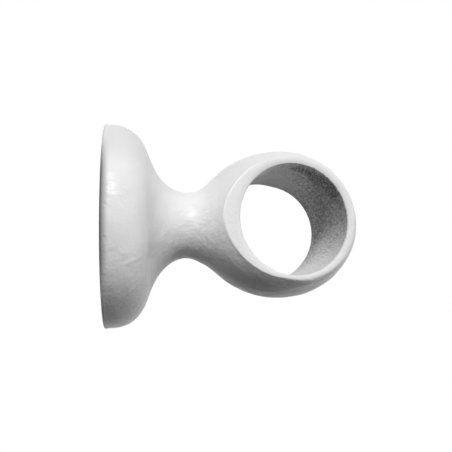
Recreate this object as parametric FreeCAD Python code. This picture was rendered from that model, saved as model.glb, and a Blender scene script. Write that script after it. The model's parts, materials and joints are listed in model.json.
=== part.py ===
# Curtain pole bracket: one painted casting. A domed wall base runs through a waisted neck
# into a ball that is faced flat on both sides and bored through for the pole.
# Millimetres. Origin at the middle of the wall face, +X out from the wall, +Y along the pole, +Z up.

import FreeCAD, Part
import math
import os

os.makedirs("parts", exist_ok=True)

# The pole and its bore
pole_dia = 28.0
pole_play = 2.0
bore_dia = pole_dia + pole_play
bore_out = 48.2
bore_drop = 0.4

# The base that stands on the wall
base_dia = 53.0
base_side = 1.8
dome_round = 8.4
dome_sweep = 68.0

# The waist of the neck, and how far each side of the curve holds its direction
waist_dia = 18.2
waist_out = 20.9
dome_hold = 3.4
waist_hold_in = 7.2
waist_hold_out = 7.2
ball_hold = 16.7

# The ball, whose nose stands out a little past a true sphere, faced to the ring's length
ball_dia = 42.4
nose_lift = 0.8
ring_length = 27.0

# The tapped hole in the wall face, at the thread's core diameter
tapping_dia = 5.0
tapping_depth = 16.0
mouth_dia = 5.8
drill_point = 118.0

# Softened edges under the paint
back_edge = 0.35
face_edge = 0.5
bore_edge = 0.4

X = FreeCAD.Vector(1, 0, 0)
Y = FreeCAD.Vector(0, 1, 0)
ORIGIN = FreeCAD.Vector(0, 0, 0)


def at(out, height):
    """A point of the profile: distance from the wall and distance from the neck's axis."""
    return FreeCAD.Vector(out, 0, height)


def flowing(start, start_pull, end_pull, end):
    """A smooth curve that leaves start towards start_pull and reaches end from end_pull."""
    curve = Part.BezierCurve()
    curve.setPoles([start, start_pull, end_pull, end])
    return curve.toShape()


def turned_body():
    """Base, neck and ball as one profile turned about the neck's axis."""
    base_r = base_dia / 2
    dome_centre = at(base_side, base_r - dome_round)

    def on_dome(degrees):
        turn = math.radians(degrees)
        return dome_centre + at(dome_round * math.sin(turn), dome_round * math.cos(turn))

    dome_end = on_dome(dome_sweep)
    sweep = math.radians(dome_sweep)
    leaving = at(math.cos(sweep), -math.sin(sweep))
    waist = at(waist_out, waist_dia / 2)
    crown = at(bore_out, ball_dia / 2)
    nose = at(bore_out + ball_dia / 2 + nose_lift, 0)
    ball = Part.Ellipse(nose, crown, at(bore_out, 0))
    edges = [
        Part.LineSegment(ORIGIN, at(0, base_r)).toShape(),
        Part.LineSegment(at(0, base_r), at(base_side, base_r)).toShape(),
        Part.Arc(at(base_side, base_r), on_dome(dome_sweep / 2), dome_end).toShape(),
        flowing(dome_end, dome_end + leaving * dome_hold, waist - X * waist_hold_in, waist),
        flowing(waist, waist + X * waist_hold_out, crown - X * ball_hold, crown),
        Part.ArcOfEllipse(ball, 0, math.pi / 2).toShape(),
        Part.LineSegment(nose, ORIGIN).toShape(),
    ]
    profile = Part.Face(Part.Wire(Part.__sortEdges__(edges)))
    return profile.revolve(ORIGIN, X, 360)


def faced(body):
    """The ball cut flat on both sides to the ring's length."""
    reach = ball_dia
    for side in (-1, 1):
        near = side * ring_length / 2
        corner = FreeCAD.Vector(waist_out, min(near, near + side * reach), -reach)
        body = body.cut(Part.makeBox(2 * reach, reach, 2 * reach, corner))
    return body


def bored(body):
    """The cross bore for the pole."""
    start = FreeCAD.Vector(bore_out, -ring_length, -bore_drop)
    return body.cut(Part.makeCylinder(bore_dia / 2, 2 * ring_length, start, Y))


def tapped(body):
    """The blind hole in the wall face, with its countersunk mouth and drilled end."""
    hole_r = tapping_dia / 2
    mouth_r = mouth_dia / 2
    point = hole_r / math.tan(math.radians(drill_point / 2))
    hole = Part.makeCylinder(hole_r, tapping_depth, ORIGIN, X)
    end = Part.makeCone(hole_r, 0, point, X * tapping_depth, X)
    mouth = Part.makeCone(mouth_r, hole_r, mouth_r - hole_r, ORIGIN, X)
    return body.cut(hole.fuse([end, mouth]))


def on_ring_face(edge):
    """Whether an edge lies wholly in one of the ring's flat faces."""
    box = edge.BoundBox
    return box.YLength < 1e-3 and abs(abs(box.YMax) - ring_length / 2) < 1e-3


def is_bore_rim(edge):
    """Whether an edge of a flat face is the rim of the bore."""
    return edge.Curve.TypeId == "Part::GeomCircle" and abs(edge.Curve.Radius - bore_dia / 2) < 1e-3


def softened(body):
    """The casting's edges rounded as the paint leaves them."""
    outline = [e for e in body.Edges if on_ring_face(e) and not is_bore_rim(e)]
    body = body.makeFillet(face_edge, outline)
    rims = [e for e in body.Edges if on_ring_face(e) and is_bore_rim(e)]
    body = body.makeFillet(bore_edge, rims)
    back = [e for e in body.Edges if e.BoundBox.XMax < 1e-3 and e.BoundBox.ZLength > base_dia - 1]
    return body.makeFillet(back_edge, back)


bracket = softened(tapped(bored(faced(turned_body()))))
bracket.exportStep("parts/bracket_casting.step")
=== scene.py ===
import json
import math

import bmesh
import bpy
import numpy as np
from mathutils import Matrix, Vector


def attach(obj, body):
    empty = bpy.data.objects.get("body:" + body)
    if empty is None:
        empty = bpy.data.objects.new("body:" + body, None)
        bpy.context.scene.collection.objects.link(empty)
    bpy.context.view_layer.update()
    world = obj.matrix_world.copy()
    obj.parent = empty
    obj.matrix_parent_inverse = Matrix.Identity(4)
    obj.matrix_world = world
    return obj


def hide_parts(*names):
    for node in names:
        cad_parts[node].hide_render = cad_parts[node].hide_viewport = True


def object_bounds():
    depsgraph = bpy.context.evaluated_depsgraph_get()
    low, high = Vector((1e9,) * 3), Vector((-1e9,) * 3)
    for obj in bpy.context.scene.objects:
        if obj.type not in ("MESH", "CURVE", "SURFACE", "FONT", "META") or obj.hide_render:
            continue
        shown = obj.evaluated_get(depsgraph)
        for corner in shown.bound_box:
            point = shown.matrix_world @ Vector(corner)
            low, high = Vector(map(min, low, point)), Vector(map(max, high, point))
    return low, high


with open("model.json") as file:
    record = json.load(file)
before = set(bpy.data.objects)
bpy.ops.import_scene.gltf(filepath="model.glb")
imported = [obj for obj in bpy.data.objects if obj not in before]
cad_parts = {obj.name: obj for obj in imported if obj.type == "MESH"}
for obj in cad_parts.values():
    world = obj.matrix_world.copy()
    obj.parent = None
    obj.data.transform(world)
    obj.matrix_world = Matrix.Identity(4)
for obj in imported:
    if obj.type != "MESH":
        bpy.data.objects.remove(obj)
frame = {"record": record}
cad_low, cad_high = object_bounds()
mounts = {mount["name"]: mount for mount in frame["record"]["mounts"]}


# The casting
# One piece of cast metal under white paint: a domed wall base that runs through a waisted neck into a
# ball, faced flat on both sides and bored for the pole. Its skin is worked out in patches that share
# their edges, is sewn shut, and is then given the hollows and lumps that the file and the sand left.
bore_r = mounts["pole_bore"]["dims"]["r_mm"] / 1000
bore_x, _, bore_z = mounts["pole_bore"]["pos_m"]
base_r = cad_high.z
nose_x = cad_high.x
side_length = 0.0018
dome_round = 0.0084
dome_sweep = math.radians(68)
dome_hold = 0.0034
waist_x = 0.0209
waist_r = 0.0091
waist_hold = 0.0072
ball_r = 0.0212
ball_hold = 0.0167
ring_half = 0.0135
rim_round = 0.00024
rim_round_on_skin = 0.00019


def cubic(start, start_pull, end_pull, end, count):
    """Points of a cubic curve: the four points weighed by (1-t)^3, 3t(1-t)^2, 3t^2(1-t) and t^3."""
    t = np.linspace(0, 1, count)[:, None]
    weights = (1 - t) ** 3, 3 * t * (1 - t) ** 2, 3 * t**2 * (1 - t), t**3
    points = start, start_pull, end_pull, end
    return sum(weight * np.array(point) for weight, point in zip(weights, points))


def dome_and_flare(dome_steps, flare_steps):
    """Distance out and radius along the base: an arc round the shoulder, then a cubic down to the waist."""
    centre = np.array([side_length, base_r - dome_round])
    turn = np.linspace(0, dome_sweep, dome_steps)
    arc = centre + dome_round * np.stack([np.sin(turn), np.cos(turn)], axis=1)
    leaving = np.array([math.cos(dome_sweep), -math.sin(dome_sweep)])
    flare = cubic(arc[-1], arc[-1] + leaving * dome_hold, (waist_x - waist_hold, waist_r),
                  (waist_x, waist_r), flare_steps)
    return np.concatenate([arc, flare[1:]])


# The profile from the waist to the nose, as points close enough to read any radius from.
profile_steps = 2000
neck_and_ball = cubic((waist_x, waist_r), (waist_x + waist_hold, waist_r),
                      (bore_x - ball_hold, ball_r), (bore_x, ball_r), profile_steps)
nose = np.linspace(0, math.pi / 2, profile_steps)[1:]
profile_out = np.concatenate([neck_and_ball[:, 0], bore_x + (nose_x - bore_x) * np.sin(nose)])
profile_radius = np.concatenate([neck_and_ball[:, 1], ball_r * np.cos(nose)])


def radius_at(out):
    """The turned radius of the neck and ball at a distance from the wall."""
    return np.interp(out, profile_out, profile_radius)


def turned(out, radius, turn):
    """A point of a turned surface: out along X, and the radius swung from +Z towards +Y."""
    out, radius, turn = np.broadcast_arrays(out, radius, turn)
    return np.stack([out, radius * np.sin(turn), radius * np.cos(turn)], axis=-1)


def round_the_bore(angle, away, across):
    """A point by its angle about the bore from +X to +Z, its distance from the bore's axis and its Y."""
    angle, away, across = np.broadcast_arrays(angle, away, across)
    return np.stack([bore_x + away * np.cos(angle), across, bore_z + away * np.sin(angle)], axis=-1)


def skin_distance(angle, across):
    """How far from the bore's axis a ray at this angle and Y leaves the turned skin, found by halving."""
    angle, across = np.broadcast_arrays(angle, across)
    inside = np.full(angle.shape, bore_r)
    outside = np.full(angle.shape, 2 * bore_r)
    for _ in range(40):
        middle = (inside + outside) / 2
        point = round_the_bore(angle, middle, across)
        within = np.hypot(point[..., 1], point[..., 2]) < radius_at(point[..., 0])
        inside = np.where(within, middle, inside)
        outside = np.where(within, outside, middle)
    return middle


def eased(value, low, high):
    """0 below low, 1 above high, and 3t^2 - 2t^3 between."""
    t = np.clip((value - low) / (high - low), 0, 1)
    return t * t * (3 - 2 * t)


def towards(angle, degrees, held, gone):
    """1 up to held away from a direction about the bore, 0 from gone on, and eased between, either way."""
    away = np.abs((angle - math.radians(degrees) + math.pi) % (2 * math.pi) - math.pi)
    return 1 - eased(away, held, gone)


# At its lower outer side the ball is spread towards its front face, whose rim stands back and in there.
spread_fuller = 0.00085
spread_hollow = 0.00018
spread_rim_back = 0.0012
spread_rim_in = 0.0006


def spread(angle):
    """How much of the spreading a direction about the bore has."""
    return towards(angle, degrees=-60, held=0.3, gone=0.85)


def ring_distance(angle, sideways):
    """The turned skin's distance from the bore's axis, a little less where spread and more near its face."""
    fuller = spread_fuller * eased(-sideways, 0.008, ring_half) - spread_hollow
    return skin_distance(angle, sideways) + spread(angle) * fuller


def skin_reach(angle, sign):
    """How far from the middle of the ring its skin runs before the rim starts to turn."""
    return ring_half - rim_round_on_skin - (spread_rim_back * spread(angle) if sign < 0 else 0)


# Two long tapers are filed towards the bore's far end: one at the upper side by the neck, and a slight one
# at the bottom.
taper_depth = 0.0015
taper_degrees = 132
low_taper_depth = 0.0002
low_taper_degrees = -72


def bore_opening(angle, sideways):
    """The bore's radius: true in its near half, and opened by the tapers in its far half, as Y^1.2."""
    tapered = (taper_depth * towards(angle, taper_degrees, held=0.25, gone=0.95)
               + low_taper_depth * towards(angle, low_taper_degrees, held=0.2, gone=0.5))
    return bore_r + tapered * (np.maximum(sideways, 0) / ring_half) ** 1.2


# How finely the skin is divided: round the ring, across it, and how much of the ring lies on the neck.
ring_steps = 320
across_steps = 64
neck_side_steps = 62
ring_turn = np.arange(ring_steps + 1) * 2 * math.pi / ring_steps
open_reach = (ring_steps - neck_side_steps) // 2
open_turn = np.arange(-open_reach, open_reach + 1)[:, None] * 2 * math.pi / ring_steps
front_y = -skin_reach(open_turn, -1)
back_y = skin_reach(open_turn, 1)
across = front_y + (back_y - front_y) * np.linspace(0, 1, across_steps + 1)
ring_skin = round_the_bore(open_turn, ring_distance(open_turn, across), across)


def neck_edge():
    """The closed line where the neck meets the ring: over the top, down one side, back under, up again."""
    side_turn = np.arange(open_reach, open_reach + neck_side_steps + 1) * 2 * math.pi / ring_steps
    reach = skin_reach(side_turn, 1)
    side = round_the_bore(side_turn, skin_distance(side_turn, reach), reach)
    other = side * (1, -1, 1)
    return np.concatenate([ring_skin[-1, :-1], side[:-1], ring_skin[0, :0:-1], other[:0:-1]])


loop = neck_edge()
loop_turn = np.unwrap(np.arctan2(loop[:, 1], loop[:, 2]))
around_steps = len(loop)
around = (np.arange(around_steps) - across_steps / 2) * 2 * math.pi / around_steps


def closed(grid):
    """A grid whose last column repeats its first, so that its rows are rings."""
    return np.concatenate([grid, grid[:, :1]], axis=1)


def neck_skin(rows):
    """The turned skin from the waist to the neck's edge: out and turn both run evenly from ring to edge."""
    share = np.linspace(0, 1, rows)[:, None]
    out = waist_x + (loop[:, 0] - waist_x) * share
    turn = around + (loop_turn - around) * share
    grid = turned(out, radius_at(out), turn)
    grid[-1] = loop
    return closed(grid)


# The back edge is dressed by hand, most at the two sides and least at the top and bottom. The wall face
# starts a little outside the hole's mouth.
back_round_least = 0.00017
back_round_most = 0.0013
back_length_most = 0.0017
back_length_by_round = 1.35
back_round = back_round_least + (back_round_most - back_round_least) * np.abs(np.sin(around)) ** 2.4
back_length = np.minimum(back_length_by_round * back_round, back_length_most)
mouth_r = 0.0029
face_inner_r = 0.0034


def base_skin():
    """Wall face, back edge, side, dome and flare, as rings about the neck's axis from the hole to the waist.
    The back edge is a quarter of an ellipse whose depth and length vary round the base."""
    face_share = np.linspace(0, 1, 14)[:, None]
    face_r = face_inner_r + (base_r - back_round - face_inner_r) * face_share
    face = turned(0.0, face_r, around)
    turn = np.linspace(0, math.pi / 2, 9)[1:, None]
    edge = turned(back_length * (1 - np.cos(turn)), base_r - back_round * (1 - np.sin(turn)), around)
    side_out = back_length + (side_length - back_length) * np.linspace(0, 1, 4)[1:-1, None]
    side = turned(side_out, base_r, around)
    line = dome_and_flare(dome_steps=24, flare_steps=44)
    front = turned(line[:, :1], line[:, 1:], around)
    return closed(np.concatenate([face, edge, side, front]))


# The ring's rim is rolled wider at its upper side by the neck, and both mouths of the bore have a wide,
# shallow rounding.
rim_rolled_more = 0.8
rim_rolled_degrees = 150
bore_round = 0.0020
bore_round_inward = 0.0006
bore_steps = 48
bore_across = np.linspace(-1, 1, bore_steps + 1)[:, None] * (ring_half - bore_round_inward)
bore_wall = round_the_bore(ring_turn, bore_opening(ring_turn, bore_across), bore_across)


def ring_side(sign):
    """From the skin over the rim, across the face and into the bore, as rings about the bore. The rim is a
    curve through three points weighed by (1-t)^2, 2t(1-t) and t^2: the skin's end, its corner with the face
    and the face's edge. The bore's edge is a quarter of an ellipse, as wide as the face has room for."""
    step = 1e-5
    reach = skin_reach(ring_turn, sign)
    away = ring_distance(ring_turn, reach * sign)
    slope = (away - ring_distance(ring_turn, (reach - step) * sign)) / step
    corner = away + slope * (ring_half - reach)
    rolled = 1 + rim_rolled_more * towards(ring_turn, rim_rolled_degrees, held=0.4, gone=0.9)
    flat_end = corner - rim_round * rolled - (spread_rim_in * spread(ring_turn) if sign < 0 else 0)
    t = np.linspace(0, 1, 11)[:, None]
    over_rim = round_the_bore(ring_turn, (1 - t) ** 2 * away + 2 * t * (1 - t) * corner + t**2 * flat_end,
                              (1 - t) ** 2 * reach + (1 - (1 - t) ** 2) * ring_half)
    opening = bore_opening(ring_turn, ring_half * sign)
    rounded = np.minimum(bore_round, 0.8 * (flat_end - opening))
    share = np.linspace(0, 1, 7)[1:, None]
    face = round_the_bore(ring_turn, flat_end + (opening + rounded - flat_end) * share, ring_half)
    turn = np.linspace(0, math.pi / 2, 13)[1:, None]
    depth = ring_half - bore_round_inward * (1 - np.cos(turn))
    over_bore = round_the_bore(ring_turn, opening + rounded * (1 - np.sin(turn)), depth)
    over_bore[-1] = bore_wall[-1 if sign > 0 else 0] * (1, sign, 1)
    return np.concatenate([over_rim, face, over_bore]) * (1, sign, 1)


# The hole in the wall face is drilled, countersunk a little and tapped.
hole_r = mounts["wall_hole"]["dims"]["r_mm"] / 1000
thread_pitch = 0.001
thread_depth = 0.00054
tapped_to = 0.0135
drilled_to = 0.016
drill_point = math.radians(118)
drill_tip = drilled_to + hole_r / math.tan(drill_point / 2)
hole_rings = 190
base_steps_each = 4
hole_steps = around_steps // base_steps_each
hole_turn = around[::base_steps_each]


def tapped_hole():
    """Rings down the hole: the core radius plus a ridge profile whose phase turns once in each pitch."""
    out = np.linspace(mouth_r - hole_r, drilled_to, hole_rings)[:, None]
    phase = (out / thread_pitch + hole_turn / (2 * math.pi)) % 1
    groove = np.clip(1.6 * (1 - np.abs(2 * phase - 1)) - 0.2, 0, 1)
    ends = np.clip((tapped_to - out) / thread_pitch, 0, 1)
    wall = turned(out, hole_r + thread_depth * groove * ends, hole_turn)
    wall[-1] = turned(drilled_to, hole_r, hole_turn)
    mouth = turned(0.0, mouth_r, hole_turn)[None]
    narrowing = np.linspace(0, 1, 6)[1:-1, None]
    point = turned(drilled_to + (drill_tip - drilled_to) * narrowing, hole_r * (1 - narrowing), hole_turn)
    return closed(np.concatenate([mouth, wall, point]))


def grid_faces(first, rows, columns):
    """The four-sided faces of a grid whose points are numbered row by row from first."""
    low = first + columns * np.arange(rows - 1)[:, None] + np.arange(columns - 1)
    return np.stack([low, low + 1, low + columns + 1, low + columns], axis=-1).reshape(-1, 4)


def cast_mesh():
    """All patches sewn into one closed skin, with its faces turned outwards. The wall face is joined to the
    hole's mouth, whose steps are longer, by one face for each of them, and the hole ends in a point."""
    patches = (base_skin(), neck_skin(rows=28), ring_skin, ring_side(1), ring_side(-1), bore_wall,
               tapped_hole())
    sizes = [patch.shape[:2] for patch in patches]
    firsts = np.cumsum([0] + [rows * columns for rows, columns in sizes])
    hole_first, tip = firsts[-2:]
    deepest = tip - hole_steps - 1
    step = np.arange(hole_steps)[:, None]
    joined = np.hstack([base_steps_each * step + np.arange(base_steps_each + 1), hole_first + step + 1,
                        hole_first + step])
    pointed = np.hstack([deepest + step, deepest + step + 1, tip + 0 * step])
    blocks = [grid_faces(first, *size) for first, size in zip(firsts, sizes)] + [joined, pointed]
    points = np.concatenate([patch.reshape(-1, 3) for patch in patches] + [np.array([[drill_tip, 0, 0]])])
    made = bpy.data.meshes.new("painted_casting")
    made.from_pydata(points.tolist(), [], [face for block in blocks for face in block.tolist()])
    sewn = bmesh.new()
    sewn.from_mesh(made)
    bmesh.ops.remove_doubles(sewn, verts=sewn.verts, dist=2e-6)
    bmesh.ops.recalc_face_normals(sewn, faces=sewn.faces)
    sewn.to_mesh(made)
    sewn.free()
    return made


def unevenness(points, size, waves, seed):
    """Soft lumps about this size, mostly between -1 and 1: a sum of cosine waves in random directions."""
    draw = np.random.default_rng(seed)
    direction = draw.normal(size=(waves, 3))
    direction /= np.linalg.norm(direction, axis=1, keepdims=True)
    pace = 2 * math.pi / (size * draw.uniform(0.7, 1.5, (waves, 1)))
    start = draw.uniform(0, 2 * math.pi, waves)
    return np.cos(points @ (direction * pace).T + start).sum(axis=1) / math.sqrt(waves)


def bell(value, middle, width):
    """1 in the middle, falling away on both sides as exp(-t^2), where t is the distance in widths."""
    return np.exp(-((value - middle) / width) ** 2)


def clear_of_faces(points, reach):
    """0 at the ring's faces, eased to 1 over this reach of the skin beside them, and 1 on the base."""
    return np.where(points[:, 0] > waist_x, eased(ring_half - np.abs(points[:, 1]), 0, reach), 1)


def fullness(points, from_axis):
    """How far the neck stands off the turned form at its two flares: bell curves of the distance out, each
    weighed by how much a place faces upwards or downwards."""
    out = points[:, 0]
    upward = points[:, 2] / np.maximum(from_axis, 1e-6)
    flare = 0.00022 * bell(out, 0.0107, 0.0016) * (0.8 + 0.3 * upward)
    crease = 0.00005 * bell(out, 0.0099, 0.0005) * (1 - 0.6 * upward)
    lower_sides = 0.00028 * bell(out, 0.0098, 0.0011) * eased(-upward, -0.2, 0.5) * (1 - upward**2)
    by_the_ball = 0.00019 * bell(out, 0.0318, 0.0028) * (1 + 0.4 * upward)
    return (flare + crease + lower_sides + by_the_ball) * clear_of_faces(points, reach=0.004)


def lump_depth(points, from_axis, from_bore):
    """How deep the sand's lumps lie under the skin: three fields of them, one drawn out along the neck. They
    fade out at the wall face and hole, and mostly in the bore and at the ring's faces."""
    lumps = (0.00004 * unevenness(points, size=0.009, waves=50, seed=3)
             + 0.000024 * unevenness(points, size=0.0035, waves=60, seed=5)
             + 0.000012 * unevenness(points * (0.35, 1, 1), size=0.0018, waves=60, seed=7))
    depth = np.clip(0.00006 - lumps, 0, 0.0002)
    depth *= eased(points[:, 0], 0, 0.001) * eased(from_axis, 0.004, 0.006)
    depth *= 0.15 + 0.85 * eased(from_bore, bore_r, bore_r + 0.0006)
    depth *= 0.3 + 0.7 * clear_of_faces(points, reach=0.0006)
    return depth


# The neck's sag past the waist, and how far the lowest edge of the base is raised.
sag_x = 0.0243
sag_width = 0.0024
sag_depth = 0.0003
lowest_raised = 0.00022


def roughen(mesh):
    """Shapes the skin as the file and the sand left it. Each point moves along its normal by the fullness
    less the lumps' depth. The neck then sags just past the waist, and the base's lowest edge is raised by
    its new height, which out, sideways and height hold because they are views of the points."""
    points = np.empty(len(mesh.vertices) * 3)
    normals = np.empty(len(mesh.vertices) * 3)
    mesh.vertices.foreach_get("co", points)
    mesh.vertex_normals.foreach_get("vector", normals)
    points, normals = points.reshape(-1, 3), normals.reshape(-1, 3)
    out, sideways, height = points.T
    from_axis = np.hypot(sideways, height)
    from_bore = np.hypot(out - bore_x, height - bore_z)
    outside = eased(from_bore, bore_r + 0.0005, bore_r + 0.0015) * eased(from_axis, 0.003, 0.004)
    moved = fullness(points, from_axis) * outside - lump_depth(points, from_axis, from_bore)
    sag = sag_depth * bell(out, sag_x, sag_width) * outside
    points += normals * moved[:, None]
    points[:, 2] -= sag
    points[:, 2] += lowest_raised * eased(-height, 0.0242, 0.0265) * (1 - eased(out, 0.002, 0.006))
    points[:, 0] = np.maximum(points[:, 0], 0)
    mesh.vertices.foreach_set("co", points.ravel())
    mesh.polygons.foreach_set("use_smooth", np.ones(len(mesh.polygons), bool))
    mesh.update()


casting_mesh = cast_mesh()
roughen(casting_mesh)


class Tone:
    """A number or colour inside a finish, so that its maths is written as plain sums."""

    def __init__(self, finish, socket):
        self.finish = finish
        self.socket = socket

    def __add__(self, other):
        return self.finish.maths("ADD", self, other)

    __radd__ = __add__

    def __sub__(self, other):
        return self.finish.maths("SUBTRACT", self, other)

    def __rsub__(self, other):
        return self.finish.maths("SUBTRACT", other, self)

    def __mul__(self, other):
        return self.finish.maths("MULTIPLY", self, other)

    __rmul__ = __mul__

    def __truediv__(self, other):
        return self.finish.maths("DIVIDE", self, other)

    def __pow__(self, other):
        return self.finish.maths("POWER", self, other)

    def eased(self, low, high):
        """0 at low, 1 at high, soft between."""
        return self.finish.node("ShaderNodeMapRange", {"interpolation_type": "SMOOTHSTEP"},
                                {"Value": self, "From Min": low, "From Max": high})


class Finish:
    """The nodes of a material or of the studio's surround, all added through one method."""

    def __init__(self, holder):
        holder.use_nodes = True
        self.tree = holder.node_tree
        self.tree.nodes.clear()

    def node(self, kind, settings, sockets, output=0):
        """A node of this kind: its settings first, then the values or links of its sockets."""
        made = self.tree.nodes.new(kind)
        for name, value in settings.items():
            setattr(made, name, value)
        for name, value in sockets.items():
            if isinstance(value, Tone):
                self.tree.links.new(value.socket, made.inputs[name])
            else:
                made.inputs[name].default_value = value
        return Tone(self, made.outputs[output]) if made.outputs else None

    def maths(self, operation, *values):
        return self.node("ShaderNodeMath", {"operation": operation}, dict(enumerate(values)))

    def vectors(self, operation, first, second, output=0):
        return self.node("ShaderNodeVectorMath", {"operation": operation}, {0: first, 1: second}, output)

    def distance(self, place, point):
        return self.vectors("DISTANCE", place, point, "Value")

    def blend(self, share, first, second):
        """One colour turning into another; a Mix node's colour sockets are its inputs 6 and 7, output 2."""
        return self.node("ShaderNodeMix", {"data_type": "RGBA"}, {0: share, 6: first, 7: second}, 2)

    def stroke(self, place, start, end, width):
        """1 on the line between two points, fading to 0 at this distance from it. The nearest point of the
        line is found from the share of it that is passed, eased a little beyond both ends."""
        run = Vector(end) - Vector(start)
        passed = self.vectors("SUBTRACT", place, start)
        share = self.vectors("DOT_PRODUCT", passed, run / run.length**2, "Value").eased(-0.2, 1.2)
        nearest = self.node("ShaderNodeVectorMath", {"operation": "SCALE"}, {0: run, "Scale": share})
        return 1 - self.distance(passed, nearest).eased(0.0, width)

    def noise(self, place, size, detail=2.0, roughness=0.5):
        """Noise whose grains are about this many millimetres."""
        return self.node("ShaderNodeTexNoise", {}, {"Vector": place, "Scale": 1 / size, "Detail": detail,
                                                    "Roughness": roughness})


# The paint is worked out in millimetres, from the same places as the skin.
mm = 1000.0
near_face = ring_half * mm


def grey(level):
    return level, level, level, 1


mottled_whites = grey(0.80), grey(0.86)
# The grey of the painted shade on the dome and under its flare.
shaded_white = grey(0.62)
# The white of the painted highlight on the rim.
highlight_white = grey(1.0)
dust_grey = grey(0.40)
pit_grey = grey(0.06)
# The grey of the painted shade on the back edge.
edge_shade_grey = grey(0.18)
bare_metal = (0.33, 0.33, 0.34, 1)

# The two places that the brush left streaked and a little shinier: on the base's side and on the neck.
side_gleam = (3.2, -26.0, 4.2)
neck_gleam = (22.8, -9.1, 2.3)

# Ridges and nicks on the base's side and dome, each from one point to another: its width and its rise.
ridges = (((1.3, -24.9, -8.9), (2.6, -25.0, -8.5), 0.8, 0.035),
          ((4.0, -24.4, -9.2), (5.6, -23.5, -9.9), 1.0, 0.035),
          ((5.0, -23.3, -12.0), (8.5, -20.7, -10.2), 0.9, 0.065),
          ((6.2, -18.1, -17.7), (6.8, -18.0, -17.3), 1.0, 0.07),
          ((1.0, -26.4, 0.7), (1.3, -26.4, 0.4), 0.4, -0.07),
          ((1.1, -25.6, -6.3), (1.2, -25.6, -7.1), 0.5, -0.05))


def facing(beyond, above, from_bore, degrees):
    """The cosine of the angle between a place's direction from the bore's axis and one in degrees."""
    turn = math.radians(degrees)
    return (above * math.sin(turn) + beyond * math.cos(turn)) / from_bore


def painted_dome_shade(out, height):
    """Painted shade: the white greyed a little on the dome's top, and more low on it and under its flare."""
    top = height.eased(9.0, 16.0) * (1 - out.eased(6.0, 12.0))
    low = (1 - height.eased(-21.0, -11.0)) * height.eased(-27.0, -21.0) * (1 - out.eased(5.0, 9.5))
    under_flare = (1 - height.eased(-15.0, -5.0)) * out.eased(9.7, 11.0) * (1 - out.eased(13.0, 16.0))
    return top * 0.4 + low * 0.85 + under_flare * 0.6


def painted_edge_shade(out, height, from_axis):
    """Painted shade on the dressed back edge, most on the edge itself and only at the sides."""
    at_side = (1 - height.eased(8.0, 19.0)) * height.eased(-19.0, -9.0)
    on_edge = 1 - out.eased(0.1, 0.8)
    beside_edge = 1 - out.eased(0.5, 1.9)
    return from_axis.eased(24.0, 25.3) * at_side * (on_edge * 0.4 + beside_edge * 0.55)


def bore_coat(finish, place, sideways, angle, in_bore, white):
    """The colour of the bore's dry, sandy coat, and how far its sand stands out. A painted shadow
    darkens its upper outer side, on a line that leans with the depth, and painted light lightens its lower
    far side. The coat is scraped beside the near face and in a trail from there down to the far end, and
    the dust is dark-pitted where it is sandy."""
    drawn = finish.vectors("MULTIPLY", place, (1.0, 0.4, 1.0))
    sand = finish.noise(drawn, 0.6, 1.0)
    specks = finish.noise(drawn, 0.42, 1.0)
    dust = finish.noise(place, 2.2, 2.0)
    past = angle + sideways * 0.030 - 0.45
    # Painted shadow: the dark band along the bore's upper outer side.
    painted_shadow_band = 1 - (past * past).eased(0.02, 0.75)
    unrolled = finish.node("ShaderNodeCombineXYZ", {}, {"X": angle * (bore_r * mm), "Y": sideways})
    scraped = (finish.stroke(unrolled, (20.5, -8.8, 0), (13.5, -9.0, 0), 3.4)
               + finish.stroke(unrolled, (13.5, -8.6, 0), (8.8, -9.6, 0), 6.0)).eased(0.0, 1.0)
    trailing = finish.stroke(unrolled, (11.0, -4.0, 0), (-3.0, 8.6, 0), 5.0)
    # Painted light: the bore's lower far side made lighter.
    painted_light_below = (1 - angle.eased(-0.45, 0.0)) * sideways.eased(-2.0, 8.0)
    sandy = in_bore * (1 - past.eased(0.5, 1.3) * 0.75) * (0.4 + 0.6 * past.eased(-1.5, -0.8))
    bare = in_bore * (0.04 + 0.45 * painted_shadow_band + 0.5 * (dust - 0.5) + 0.25 * trailing
                      + 0.5 * scraped - 0.3 * painted_light_below)
    speckled = bare + (sand - 0.5) * (2.4 * sandy) + (specks - 0.5) * (1.6 * sandy)
    dusted = finish.blend(speckled.eased(0.0, 1.0), white, dust_grey)
    pits = sandy * (0.25 + 0.2 * trailing + 0.55 * scraped) * (1 - specks.eased(0.40, 0.56))
    return finish.blend(pits, dusted, pit_grey), sand * (0.25 * sandy)


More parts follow.
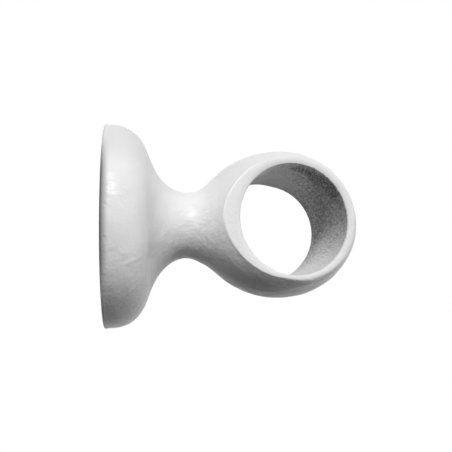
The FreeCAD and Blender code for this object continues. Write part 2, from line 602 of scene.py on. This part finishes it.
def painted_finish():
    """White paint over the casting: mottled, brushed along the neck, sandy in the bore, with bare metal in
    the tapped hole. Painted shade greys the dome's top, its low side and the underside of its flare, darkens
    the back edge at its sides and lies in a band in the bore, with painted light low in the bore's far side;
    a painted highlight lines the rim's rolled part."""
    material = bpy.data.materials.new("white_paint")
    finish = Finish(material)
    spot = finish.node("ShaderNodeTexCoord", {}, {}, "Object")
    place = finish.vectors("MULTIPLY", spot, (mm, mm, mm))
    out, sideways, height = (finish.node("ShaderNodeSeparateXYZ", {}, {0: place}, axis) for axis in "XYZ")
    nearer = sideways * -1
    beyond = out - bore_x * mm
    above = height - bore_z * mm
    from_bore = (beyond * beyond + above * above) ** 0.5
    from_axis = (sideways * sideways + height * height) ** 0.5
    angle = finish.maths("ARCTAN2", above, beyond)

    at_taper = facing(beyond, above, from_bore, taper_degrees).eased(0.6, 0.9)
    widened = finish.maths("MAXIMUM", sideways, 0.0) * at_taper * (taper_depth / ring_half)
    in_bore = 1 - (from_bore - widened).eased(bore_r * mm + 0.1, bore_r * mm + 0.5)
    in_hole = (1 - from_axis.eased(3.1, 3.3)) * (1 - out.eased(18.5, 19.5))
    on_face = nearer.eased(near_face - 0.3, near_face - 0.1)
    on_rim = nearer.eased(near_face - 0.35, near_face - 0.22)
    on_rim *= 1 - nearer.eased(near_face - 0.1, near_face - 0.06)
    on_rim *= from_bore.eased(17.4, 18.0) * out.eased(25.0, 27.0)
    # Painted highlight: a whiter line where the rolled rim turns towards the key lamp.
    painted_rim_highlight = on_rim * facing(beyond, above, from_bore, rim_rolled_degrees).eased(0.78, 0.92)
    # Painted shade on the back edge's sides, where it turns away from the lamps.
    edge_shading = painted_edge_shade(out, height, from_axis)

    mottle = finish.noise(place, 6.0, 3.0)
    peel = finish.noise(place, 1.6, 2.0)
    along = finish.vectors("MULTIPLY", place, (0.22, 1.0, 1.0))
    brushed = finish.noise(along, 0.9, 2.0)
    grain = finish.noise(place, 0.42, 2.0, 0.6)

    unshaded_white = finish.blend(mottle, *mottled_whites)
    # Painted shade on the dome's top, its low side and under its flare.
    white = finish.blend(painted_dome_shade(out, height), unshaded_white, shaded_white)
    coated, sand_relief = bore_coat(finish, place, sideways, angle, in_bore, white)
    bright_rim = finish.blend(painted_rim_highlight, coated, highlight_white)
    edge_shaded = finish.blend(edge_shading, bright_rim, edge_shade_grey)
    colour = finish.blend(in_hole, edge_shaded, bare_metal)

    from_side_gleam = finish.distance(place, side_gleam)
    from_neck_gleam = finish.distance(place, neck_gleam)
    rubbed = 1 - from_side_gleam.eased(2.5, 6.0) * (0.45 + 0.55 * from_neck_gleam.eased(1.5, 5.0))
    strokes = brushed * (0.015 + 0.19 * (1 - from_side_gleam.eased(1.0, 4.5))
                         + 0.16 * (1 - from_neck_gleam.eased(2.5, 6.5)))
    for start, end, width, rise in ridges:
        strokes += finish.stroke(place, start, end, width) * rise
    below = 1 - (height / from_axis).eased(-0.5, 0.5)
    fine = 0.01 + 0.02 * on_face + (0.012 + 0.02 * below) * out.eased(12.0, 18.0)
    pitted = finish.noise(place, 0.8, 1.0) * (0.01 + 0.04 * below) * (0.4 + 0.6 * out.eased(10.0, 16.0))
    relief = peel * 0.09 + pitted + strokes + grain * fine + sand_relief

    bump = finish.node("ShaderNodeBump", {}, {"Height": relief, "Distance": 0.001, "Strength": 1.0})
    surface = finish.node("ShaderNodeBsdfPrincipled", {}, {
        "Base Color": colour,
        "Roughness": 0.32 + 0.1 * mottle - 0.11 * rubbed + 0.4 * in_bore + 0.6 * edge_shading,
        "Metallic": in_hole * 0.9,
        "Specular IOR Level": 0.22,
        "Normal": bump,
    })
    finish.node("ShaderNodeOutputMaterial", {}, {"Surface": surface})
    return material


casting_mesh.materials.append(painted_finish())
casting = bpy.data.objects.new("painted_casting", casting_mesh)
bpy.context.scene.collection.objects.link(casting)
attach(casting, "root")
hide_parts("bracket_casting")


# The floor
# A plain pale studio floor well below the bracket, which hangs free of it as it would on its wall.
floor_drop = 0.28
floor_half = 4.0
floor_mesh = bpy.data.meshes.new("floor")
floor_mesh.from_pydata([(-floor_half, -floor_half, -floor_drop), (floor_half, -floor_half, -floor_drop),
                        (floor_half, floor_half, -floor_drop), (-floor_half, floor_half, -floor_drop)],
                       [], [(0, 1, 2, 3)])
floor = bpy.data.objects.new("floor", floor_mesh)
bpy.context.scene.collection.objects.link(floor)


def seen_plainly(finish):
    """1 for a ray from the lens, the gloss or any glass, and 0 for the light that falls on the bracket."""
    kinds = "Is Camera Ray", "Is Glossy Ray", "Is Transmission Ray"
    camera_ray, gloss_ray, glass_ray = (finish.node("ShaderNodeLightPath", {}, {}, kind) for kind in kinds)
    return camera_ray + gloss_ray + glass_ray


def floor_finish():
    """White wherever it is seen plainly, more by its own glow where the lamps fade, and dark to other
    light."""
    material = bpy.data.materials.new("pale_floor")
    finish = Finish(material)
    spot = finish.node("ShaderNodeTexCoord", {}, {}, "Object")
    away = finish.node("ShaderNodeVectorMath", {"operation": "LENGTH"}, {0: spot}, "Value")
    pale = finish.node("ShaderNodeBsdfDiffuse", {}, {"Color": grey(0.85)})
    lit = finish.blend(away.eased(0.1, 1.5), grey(0.85), grey(1.0))
    lift = finish.node("ShaderNodeEmission", {}, {"Color": lit, "Strength": 1.0})
    seen = finish.node("ShaderNodeAddShader", {}, {0: pale, 1: lift})
    dim = finish.node("ShaderNodeBsdfDiffuse", {}, {"Color": grey(0.05)})
    both = finish.node("ShaderNodeMixShader", {}, {0: seen_plainly(finish), 1: dim, 2: seen})
    finish.node("ShaderNodeOutputMaterial", {}, {"Surface": both})
    return material


floor_mesh.materials.append(floor_finish())


# The studio
# A white surround that the lens, the gloss and any glass see, a trace of it left as fill, and four soft
# lamps, of which the one behind is kept out of the gloss.
world = bpy.data.worlds.new("studio")
bpy.context.scene.world = world
surround = Finish(world)
fill = surround.node("ShaderNodeBackground", {}, {"Strength": 0.01})
white_around = surround.node("ShaderNodeBackground", {}, {"Color": grey(1.0)})
mixed = surround.node("ShaderNodeMixShader", {}, {0: seen_plainly(surround), 1: fill, 2: white_around})
surround.node("ShaderNodeOutputWorld", {}, {"Surface": mixed})
bracket_middle = Vector((0.035, 0, 0))


def lamp(name, place, size, watts):
    """A square soft lamp that faces the middle of the bracket."""
    light = bpy.data.lights.new(name, "AREA")
    light.size = size
    light.energy = watts
    holder = bpy.data.objects.new(name, light)
    holder.location = place
    holder.rotation_euler = (bracket_middle - Vector(place)).to_track_quat("-Z", "Y").to_euler()
    holder.visible_camera = False
    bpy.context.scene.collection.objects.link(holder)
    return holder


lamp("key", (0.035, -0.503, 0.327), size=0.3, watts=3.6)
lamp("side", (0.595, -0.135, -0.150), size=0.3, watts=0.88)
lamp("low side", (0.398, 0.097, -0.137), size=0.16, watts=0.05)
behind = lamp("behind", (-0.16, 0.385, 0.386), size=0.3, watts=0.75)
behind.visible_glossy = False


# The camera
# It stands close to the ring and a little below it, as the photograph was taken.
camera_place = Vector((0.00745, -0.12130, -0.01906))
camera_swing = math.radians(15.761)
camera_rise = math.radians(10.304)
camera_roll = math.radians(-2.991)
ahead = Vector((math.sin(camera_swing) * math.cos(camera_rise),
                math.cos(camera_swing) * math.cos(camera_rise), math.sin(camera_rise)))
level = Vector((math.cos(camera_swing), -math.sin(camera_swing), 0))
upright = level.cross(ahead)
right = level * math.cos(camera_roll) + upright * math.sin(camera_roll)
up = upright * math.cos(camera_roll) - level * math.sin(camera_roll)
lens = bpy.data.cameras.new("camera")
lens.sensor_width = 36.0
lens.lens = 35.09
lens.shift_x = -0.0709
lens.shift_y = -0.0320
lens.clip_start = 0.01
camera = bpy.data.objects.new("camera", lens)
camera.matrix_world = Matrix.Translation(camera_place) @ Matrix((right, up, -ahead)).transposed().to_4x4()
bpy.context.scene.collection.objects.link(camera)
bpy.context.scene.camera = camera
bpy.context.scene.view_settings.view_transform = "Standard"
